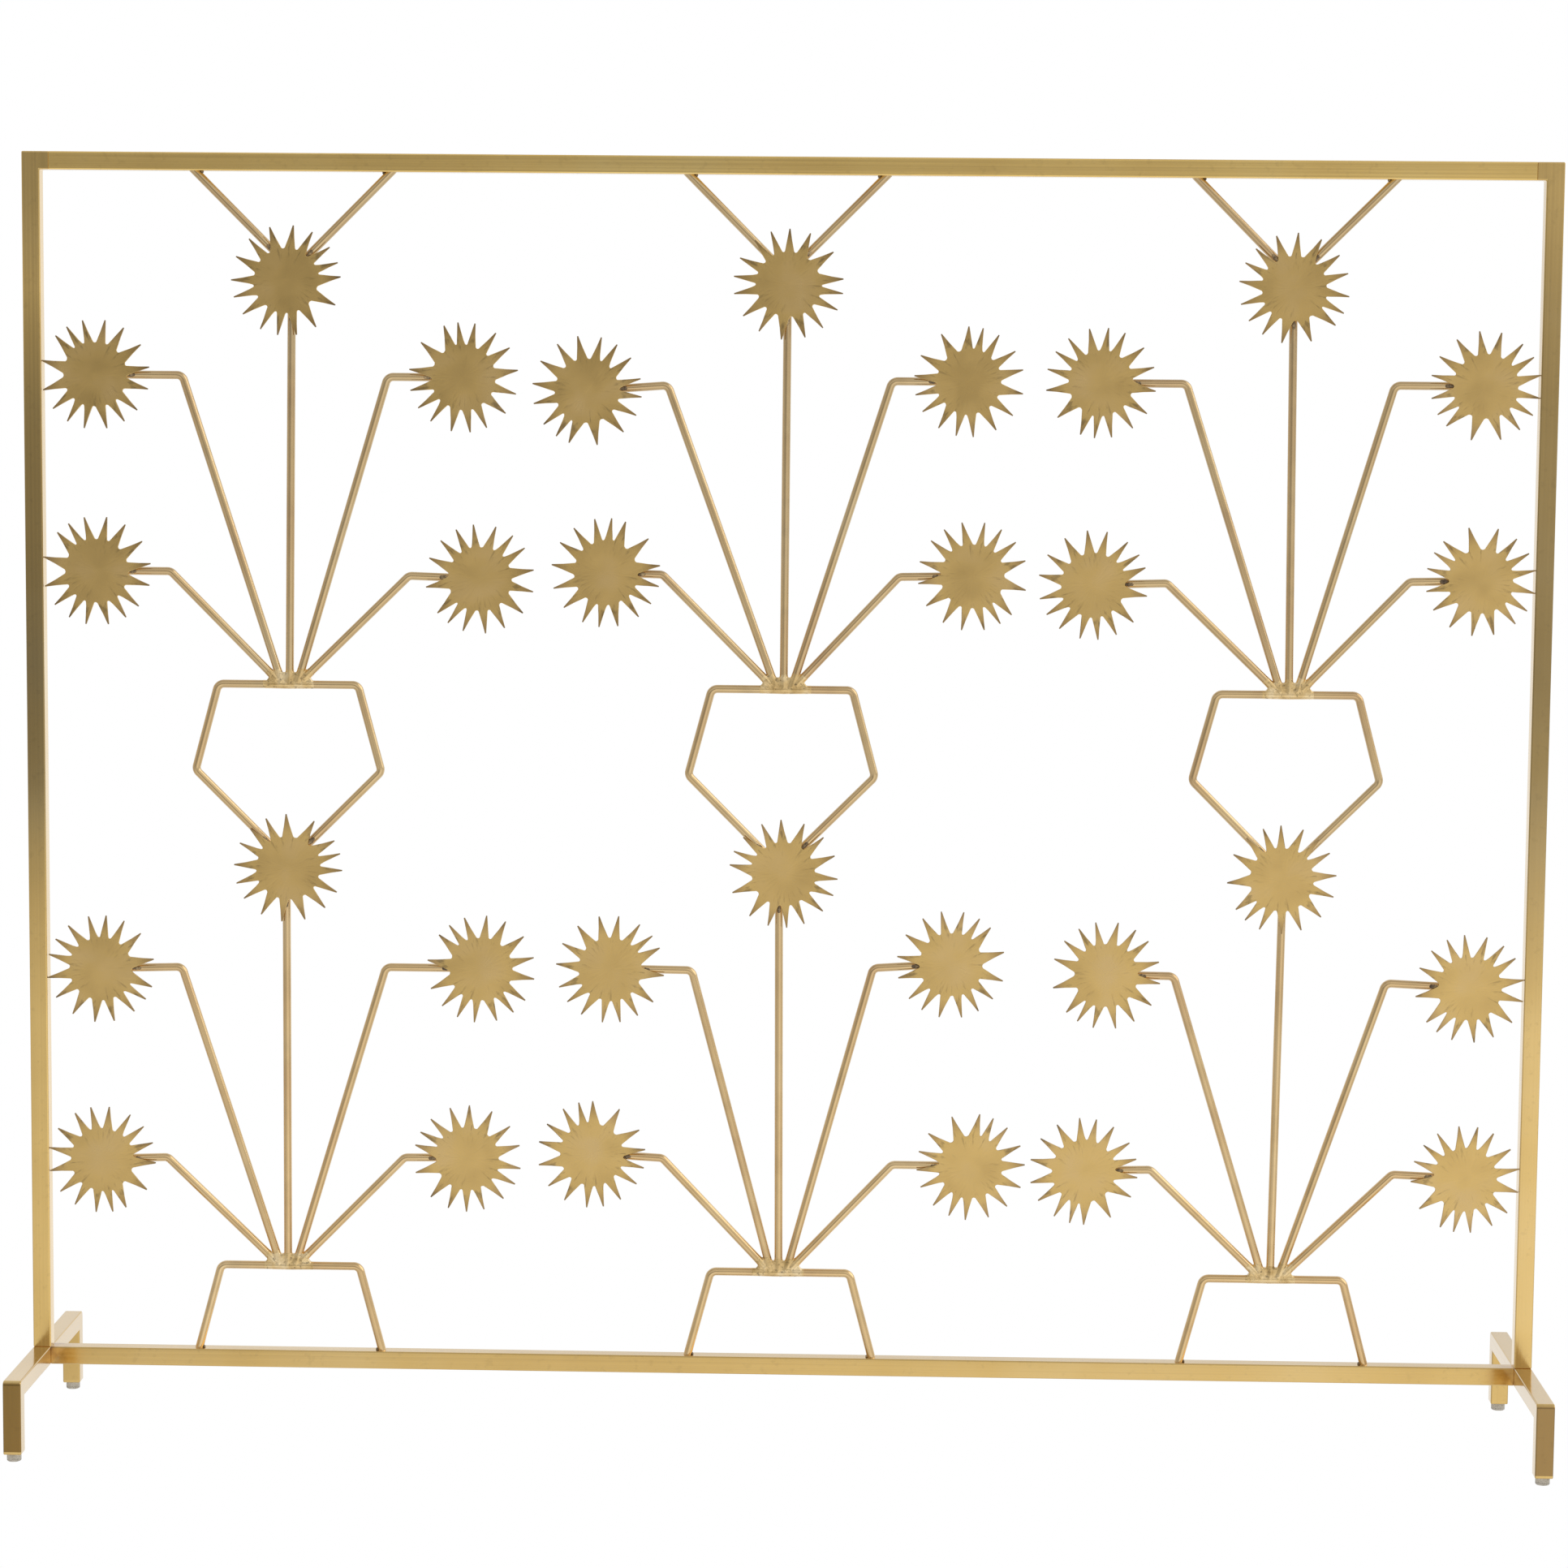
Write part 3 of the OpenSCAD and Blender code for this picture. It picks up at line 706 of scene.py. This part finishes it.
flower_brass, tree, shader, place = new_metal("flower_brass")
disc = add_node(tree, "ShaderNodeUVMap", uv_map="disc").outputs["UV"]
radius = add_node(tree, "ShaderNodeVectorMath", {0: disc}, operation="LENGTH").outputs["Value"]
bearing = add_node(tree, "ShaderNodeTexGradient", {"Vector": disc}, gradient_type="RADIAL").outputs["Fac"]
spokes = add_node(tree, "ShaderNodeCombineXYZ", {"X": bearing, "Y": radius}).outputs["Vector"]
spokes = add_node(tree, "ShaderNodeMapping", {"Vector": spokes, "Scale": SPOKE_SCALE}).outputs["Vector"]
scratches = noise(tree, spokes, 1, 3)
clouds = noise(tree, place, 38, 2)
colour = ramp(tree, clouds, [(0.3, (0.65, 0.43, 0.135, 1)), (0.5, BRASS), (0.7, (0.75, 0.515, 0.20, 1))])
edge_lines = ramp(tree, radius, [(0.3, 0.0), (0.62, 1.0)])
scored_tone = ramp(tree, scratches, [(0.32, 0.58), (0.43, 1.0)])
colour = tint(tree, edge_lines, colour, scored_tone)
colour = tint(tree, 1.0, colour, ramp(tree, radius, [(0.66, 1.0), (0.86, (0.72, 0.69, 0.72, 1)),
                                                     (1.0, (0.5, 0.48, 0.56, 1))]))
tree.links.new(colour, shader.inputs["Base Color"])
tree.links.new(ramp(tree, clouds, [(0.3, 0.2), (0.7, 0.28)]), shader.inputs["Roughness"])
burnish = add_node(tree, "ShaderNodeBump",
                   {"Height": noise(tree, place, 24, 1), "Strength": 0.35, "Distance": 0.0018})
scored = add_node(tree, "ShaderNodeBump",
                  {"Height": scratches, "Normal": burnish.outputs[0], "Strength": 0.3, "Distance": 0.0001})
tree.links.new(scored.outputs[0], shader.inputs["Normal"])



def notch_edges(blank, x, z, ray_r):
    """The short edges through the sheet at the bottoms of the notches."""
    found = []
    for edge in blank.edges:
        start = edge.verts[0].co
        from_middle = math.hypot(start.x - x, start.z - z)
        through = abs(start.y - edge.verts[1].co.y) > 0.001
        if through and from_middle < NOTCH_REACH * ray_r and edge.calc_face_angle() > NOTCH_ANGLE:
            found.append(edge)
    return found


def hollow_flanks(blank, x, z, ray_r):
    """Draws the flanks of the rays inwards, and leaves the tips where they are."""
    for vert in blank.verts:
        arm = Vector((vert.co.x - x, 0, vert.co.z - z))
        share = (arm.length / ray_r - NOTCH_FLOOR) / (1 - NOTCH_FLOOR)
        if 0 < share < 1:
            arm *= ray_r * (NOTCH_FLOOR + (1 - NOTCH_FLOOR) * share ** HOLLOW) / arm.length
            vert.co.x, vert.co.z = x + arm.x, z + arm.z


random.seed(5)
for row in ROWS:
    for column in COLUMNS:
        for stem, side, sizes in STEMS:
            node = f"{row}_{column}_{stem}_flower"
            x, z, ray_r = flower_middle(node)
            blank = bmesh.new()
            blank.from_mesh(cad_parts[node].data)
            bmesh.ops.remove_doubles(blank, verts=blank.verts, dist=1e-6)
            bmesh.ops.dissolve_limit(blank, angle_limit=0.02, verts=blank.verts, edges=blank.edges)
            notches = notch_edges(blank, x, z, ray_r)
            hollow_flanks(blank, x, z, ray_r)
            round_edges(blank, notches, NOTCH_ROUND, 3)
            rims = [edge for edge in blank.edges if edge.is_manifold and edge.calc_face_angle() > RIM_ANGLE
                    and abs(edge.verts[0].co.y - edge.verts[1].co.y) < SAME_PLACE]
            round_edges(blank, rims, CUT_EDGE, 2)
            # every flower's scratches start at another bearing
            turn = random.uniform(0, 2 * math.pi)
            disc_map = blank.loops.layers.uv.new("disc")
            for face in blank.faces:
                for loop in face.loops:
                    spot = Vector((loop.vert.co.x - x, loop.vert.co.z - z)) / ray_r
                    spot.rotate(Matrix.Rotation(turn, 2))
                    loop[disc_map].uv = spot
            keep_piece(f"{row}_{column}_{stem}_sunburst", blank, flower_brass, [node], sharp=25)


# ---- Tack welds ----
# Small beads of weld, browned by the heat. They hold each flower to its bars, in front where a bar goes under
# a notch and behind at both sides, and they join struts and vases to the rails.
# The bigger dark bead in front, under each notch, also stands for the shade in the gap between bar and
# flower: painted shade.

TACK = 0.0012
FRONT_SHADE_BEAD = 0.0018
TACK_GRID = 0.0003
TACK_SHARE = 0.6
BEHIND = 0.0045
# how far a tack lies from the middle of its bar, as shares of the bar's diameter
ASIDE = 0.45
DEPTH = 0.42
STRUT_CORNER = 0.85
VASE_CORNER = 0.55
# how far a corner tack stands off its rail, as a share of the tack's size
STAND_OFF = 0.4

# dark brown weld colour, which on the front beads under the notches is painted shade
tack_brass_and_painted_shade, tree, shader, place = new_metal("tack_brass_and_painted_shade")
crust = noise(tree, place, 500, 3)
colour = ramp(tree, noise(tree, place, 160, 2),
              [(0.35, (0.11, 0.07, 0.035, 1)), (0.5, (0.23, 0.155, 0.075, 1)), (0.68, (0.50, 0.36, 0.18, 1))])
colour = tint(tree, 1.0, colour, ramp(tree, crust, [(0.3, 0.6), (0.45, 1.0)]))
tree.links.new(colour, shader.inputs["Base Color"])
tree.links.new(ramp(tree, crust, [(0.3, 0.5), (0.7, 0.3)]), shader.inputs["Roughness"])
rough_bead = add_node(tree, "ShaderNodeBump", {"Height": crust, "Strength": 0.4, "Distance": 0.0003})
tree.links.new(rough_bead.outputs[0], shader.inputs["Normal"])


def add_bead(mesh, at, along, size):
    """Adds a short run of weld, also used as a dark bead of painted shade: three uneven drops along a line,
    flattened from front to back.
    """
    for step, share in ((-1, 0.8), (0, 1.0), (1, 0.7)):
        middle = at + along * size * step * random.uniform(0.8, 1.2)
        radius = size * share * random.uniform(0.85, 1.1)
        flat = Matrix.Diagonal((radius, radius * 0.7, radius, 1))
        bmesh.ops.create_icosphere(mesh, subdivisions=2, radius=1, matrix=Matrix.Translation(middle) @ flat)


def tack_flower(mesh, outside, end, flower, ray_r):
    """Tacks a flower to a bar that comes in from outside and ends behind it, with a dark bead in front that
    stands for the shade under the notch: painted shade.
    """
    inward = (end - outside).normalized()
    across = Vector((-inward.z, 0, inward.x))
    # the bar goes under the flower at the bottom of a notch
    crossings = intersect_line_sphere(outside, end, flower, TACK_SHARE * ray_r, False)
    rim = min(crossings, key=lambda point: (point - outside).length)
    # the front bead, as dark as the tacks, is painted shade: it stands for the shadow in the gap where the
    # bar goes under the flower
    add_bead(mesh, rim - inward * FRONT_SHADE_BEAD + Vector((0, -BAR_D / 2, 0)), inward, FRONT_SHADE_BEAD)
    for way in (-1, 1):
        behind = rim + inward * BEHIND + across * way * BAR_D * ASIDE
        add_bead(mesh, behind + Vector((0, -BAR_D * DEPTH, 0)), inward, TACK)


random.seed(23)
for row in ROWS:
    for column in COLUMNS:
        tacks = bmesh.new()
        for stem, side, sizes in STEMS:
            route = [flat_point(point) for point in stem_route(row, column, stem, side, sizes)]
            x, z, ray_r = flower_middle(f"{row}_{column}_{stem}_flower")
            tack_flower(tacks, route[-2], route[-1], Vector((x, 0, z)), ray_r)
        # two bars come down to the middle flower, from the top rail or from the vase above
        x, z, ray_r = flower_middle(f"{row}_{column}_centre_flower")
        if row == "upper":
            (middle, half_width), top = strut_spread(column), rail_under
        else:
            middle, half_width = vase_middle("upper", column), SHOULDER_HALF
            top = rim_height("upper") - SHOULDER_DROP
        for way in (-1, 1):
            start = Vector((middle + way * half_width, 0, top))
            end = Vector((middle + way * V_GAP, 0, top - half_width + V_GAP))
            tack_flower(tacks, start, end, Vector((x, 0, z)), ray_r)
            # and one tack in the corner of each strut with its rail, or of each foot of a lower vase
            if row == "upper":
                corner = start + Vector((-way * BAR_D * STRUT_CORNER, 0, -TACK * STAND_OFF))
            else:
                foot_half = RIM_HALF + slope * (rim_height("lower") - rail_top)
                corner_x = vase_middle("lower", column) + way * (foot_half - BAR_D * VASE_CORNER)
                corner = Vector((corner_x, 0, rail_top + TACK * STAND_OFF))
            add_bead(tacks, corner, Vector((0, 1, 0)), TACK)
        beads = fuse(tacks, "tacks", TACK_GRID, 2)
        keep_piece(f"{row}_{column}_tack_welds", beads, tack_brass_and_painted_shade, [], sharp=60)


# ---- Studio ----
# Not part of the object: a pale floor and soft white light all round, with the darker side of the
# room behind the camera, which the polished front faces mirror.

FLOOR_SIZE = 12
CAMERA_AT = (0.0666, -2.6473, 0.7113)
CAMERA_TURN = (84.250, -0.500, 1.496)
LENS = 91.28
SENSOR = 36
# brightness of the room in front: at its middle, and how it grows to the right and upwards
ROOM_MIDDLE = 0.516
ROOM_ACROSS = 0.723
ROOM_RISING = -1.648
ROOM_LEAST = 0.34
# brightness behind the screen: at its middle, and how it grows to the rear, right and upwards
WALLS_MIDDLE = 0.62
WALLS_REAR = 0.30
WALLS_ACROSS = 0.08
WALLS_RISING = -0.1
LAMP_AT = Vector((0.80, -0.05, 0.55))
LAMP_STRENGTH = 1.1

sheet = bmesh.new()
bmesh.ops.create_grid(sheet, x_segments=1, y_segments=1, size=FLOOR_SIZE / 2)
floor_data = bpy.data.meshes.new("studio_floor")
sheet.to_mesh(floor_data)
sheet.free()
floor = bpy.data.objects.new("studio_floor", floor_data)
bpy.context.scene.collection.objects.link(floor)
floor.visible_glossy = False
paper = bpy.data.materials.new("paper")
paper.use_nodes = True
tree = paper.node_tree
tree.nodes.remove(tree.nodes["Principled BSDF"])
glow = add_node(tree, "ShaderNodeEmission", {"Color": (1, 1, 1, 1), "Strength": 1.0})
tree.links.new(glow.outputs[0], tree.nodes["Material Output"].inputs["Surface"])
floor_data.materials.append(paper)

world = bpy.data.worlds.new("studio")
bpy.context.scene.world = world
world.use_nodes = True
tree = world.node_tree
way = add_node(tree, "ShaderNodeTexCoord").outputs["Generated"]
split = add_node(tree, "ShaderNodeSeparateXYZ", {"Vector": way})


def sum_of(tree, first, factor, second):
    """first * factor + second."""
    node = add_node(tree, "ShaderNodeMath", {0: first, 1: factor, 2: second}, operation="MULTIPLY_ADD")
    return node.outputs[0]


def between(tree, value, low, high):
    """A value held between two limits."""
    return add_node(tree, "ShaderNodeClamp", {"Value": value, "Min": low, "Max": high}).outputs[0]


# the room in front of the screen is brighter to the right and towards the floor
depth = between(tree, sum_of(tree, split.outputs["Y"], -1.0, 0.0), 0.05, 1.0)
across = add_node(tree, "ShaderNodeMath", {0: split.outputs["X"], 1: depth}, operation="DIVIDE").outputs[0]
rising = add_node(tree, "ShaderNodeMath", {0: split.outputs["Z"], 1: depth}, operation="DIVIDE").outputs[0]
room = sum_of(tree, between(tree, across, -0.28, 0.28), ROOM_ACROSS, ROOM_MIDDLE)
room = sum_of(tree, between(tree, rising, -0.32, 0.1), ROOM_RISING, room)
# a soft white panel over the camera, and its faint spill below
panel = between(tree, sum_of(tree, rising, 3.0, -0.75), 0.0, 0.34)
spill = between(tree, sum_of(tree, rising, 1.2, -0.06), 0.0, 0.03)
room = sum_of(tree, between(tree, room, ROOM_LEAST, 1.0), 1.0, sum_of(tree, panel, 1.0, spill))
# white walls and paper behind the screen, a little dimmer at the sides and overhead
walls = sum_of(tree, between(tree, split.outputs["Y"], 0.0, 1.0), WALLS_REAR, WALLS_MIDDLE)
walls = sum_of(tree, split.outputs["X"], WALLS_ACROSS, walls)
walls = sum_of(tree, split.outputs["Z"], WALLS_RISING, walls)
patches = add_node(tree, "ShaderNodeTexNoise", {"Vector": way, "Scale": 2.2, "Detail": 1}).outputs["Fac"]
walls = sum_of(tree, patches, 0.5, sum_of(tree, walls, 1.0, -0.25))
# a round soft light high on the right
lamp = add_node(tree, "ShaderNodeVectorMath", {0: way, 1: LAMP_AT.normalized()},
                operation="DOT_PRODUCT").outputs["Value"]
lamp = add_node(tree, "ShaderNodeMapRange", {"Value": lamp, "From Min": 0.86, "From Max": 0.95},
                interpolation_type="SMOOTHSTEP").outputs[0]
walls = sum_of(tree, lamp, LAMP_STRENGTH, walls)
# the room in front gives way to the walls at the sides, and the camera itself sees plain white
turned_away = add_node(tree, "ShaderNodeMapRange", {"Value": split.outputs["Y"], "From Min": -0.92,
                       "From Max": -0.35}, interpolation_type="SMOOTHSTEP").outputs[0]
seen = add_node(tree, "ShaderNodeMix", {0: turned_away, 2: room, 3: walls}, data_type="FLOAT").outputs[0]
camera_ray = add_node(tree, "ShaderNodeLightPath").outputs["Is Camera Ray"]
seen = add_node(tree, "ShaderNodeMix", {0: camera_ray, 2: seen, 3: 1.0}, data_type="FLOAT").outputs[0]
tree.links.new(seen, tree.nodes["Background"].inputs["Strength"])
tree.nodes["Background"].inputs["Color"].default_value = (1, 1, 1, 1)

camera_data = bpy.data.cameras.new("camera")
camera_data.lens = LENS
camera_data.sensor_width = SENSOR
camera = bpy.data.objects.new("camera", camera_data)
camera.location = CAMERA_AT
camera.rotation_euler = [math.radians(angle) for angle in CAMERA_TURN]
bpy.context.scene.collection.objects.link(camera)
bpy.context.scene.camera = camera
bpy.context.scene.view_settings.view_transform = "Standard"
